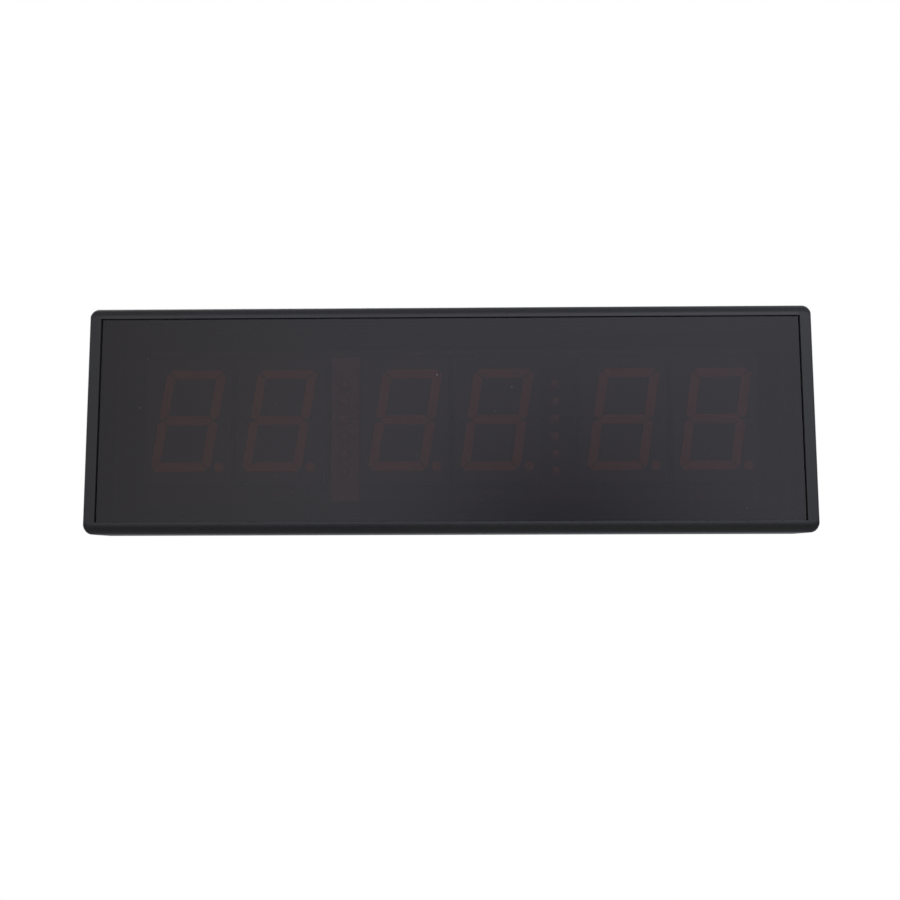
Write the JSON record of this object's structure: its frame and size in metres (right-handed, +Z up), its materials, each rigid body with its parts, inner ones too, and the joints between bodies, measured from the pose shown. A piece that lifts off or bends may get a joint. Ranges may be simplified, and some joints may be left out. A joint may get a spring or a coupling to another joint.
{
  "type": "gym round timer",
  "caption": "Wide LED round timer for a gym: extruded case with moulded end caps, smoked lens over seven-segment digits, rear keys, power switch and keyhole hangers.",
  "frame": {"origin": "middle of the case's underside, halfway between front and back", "axes": "+X to the right as seen by someone reading the display, -Y out of the display, +Z up"},
  "size_m": [0.4, 0.036, 0.126],
  "materials": {
    "anodised_case": "fine matte black anodised",
    "black_abs": "fine matte texture",
    "smoked_acrylic": "polished, see-through, dark smoke tint",
    "panel_sheet": "black powder coat on aluminium sheet",
    "phenolic_board": "brown phenolic paper laminate",
    "glass_epoxy_board": "green solder mask",
    "grey_housing": "matte dark grey face",
    "diffuser_resin": "milky cast resin",
    "led_lens": "clear red epoxy",
    "black_component": "moulded black plastic or epoxy",
    "white_connector": "natural nylon",
    "zinc_steel": "zinc plated",
    "nickel": "nickel plated",
    "black_screw": "black zinc",
    "knob_plastic": "moulded black",
    "key_plastic": "moulded grey",
    "lead_sleeve": "PVC insulation"
  },
  "bodies": {
    "case": {"bottom_rail": "anodised_case", "top_rail": "anodised_case", "right_end_cap": "black_abs", "left_end_cap": "black_abs", "right_cap_screw_lower": "black_screw", "right_cap_screw_upper": "black_screw", "left_cap_screw_lower": "black_screw", "left_cap_screw_upper": "black_screw", "front_lens": "smoked_acrylic", "digit_housing_1": "grey_housing", "digit_housing_2": "grey_housing", "digit_housing_3": "grey_housing", "digit_housing_4": "grey_housing", "digit_housing_5": "grey_housing", "digit_housing_6": "grey_housing", "digit_segments_1": "diffuser_resin", "digit_segments_2": "diffuser_resin", "digit_segments_3": "diffuser_resin", "digit_segments_4": "diffuser_resin", "digit_segments_5": "diffuser_resin", "digit_segments_6": "diffuser_resin", "display_board": "phenolic_board", "separator_leds_left": "led_lens", "separator_leds_right": "led_lens", "ir_receiver": "black_component", "standoff_1": "nickel", "standoff_2": "nickel", "standoff_3": "nickel", "standoff_4": "nickel", "panel_screw_1": "black_screw", "panel_screw_2": "black_screw", "panel_screw_3": "black_screw", "panel_screw_4": "black_screw", "back_panel": "panel_sheet", "hanger_left": "zinc_steel", "hanger_right": "zinc_steel", "dc_jack": "black_component", "dc_jack_pin": "nickel", "dc_jack_nut": "nickel", "control_board": "glass_epoxy_board", "board_header_lower": "black_component", "board_header_upper": "black_component", "microcontroller": "black_component", "led_driver_1": "black_component", "led_driver_2": "black_component", "power_socket": "white_connector", "sounder_socket": "white_connector", "clock_cell_holder": "black_component", "clock_cell": "nickel", "sounder": "black_component", "power_lead": "lead_sleeve", "sounder_lead": "lead_sleeve", "key_switch_1": "black_component", "key_switch_2": "black_component", "key_switch_3": "black_component", "power_switch_body": "zinc_steel"},
    "key_1": {"set_key_1": "key_plastic"},
    "key_2": {"set_key_2": "key_plastic"},
    "key_3": {"set_key_3": "key_plastic"},
    "power_knob": {"power_switch_knob": "knob_plastic"}
  },
  "joints": [
    {"name": "key_1_press", "type": "slide", "parent": "case", "child": "key_1", "axis": [0, -1, 0], "range_m": [0, 0.0005], "stiffness_N_per_m": 2500},
    {"name": "key_2_press", "type": "slide", "parent": "case", "child": "key_2", "axis": [0, -1, 0], "range_m": [0, 0.0005], "stiffness_N_per_m": 2500},
    {"name": "key_3_press", "type": "slide", "parent": "case", "child": "key_3", "axis": [0, -1, 0], "range_m": [0, 0.0005], "stiffness_N_per_m": 2500},
    {"name": "power_slide", "type": "slide", "parent": "case", "child": "power_knob", "axis": [1, 0, 0], "range_m": [0, 0.003]}
  ]
}
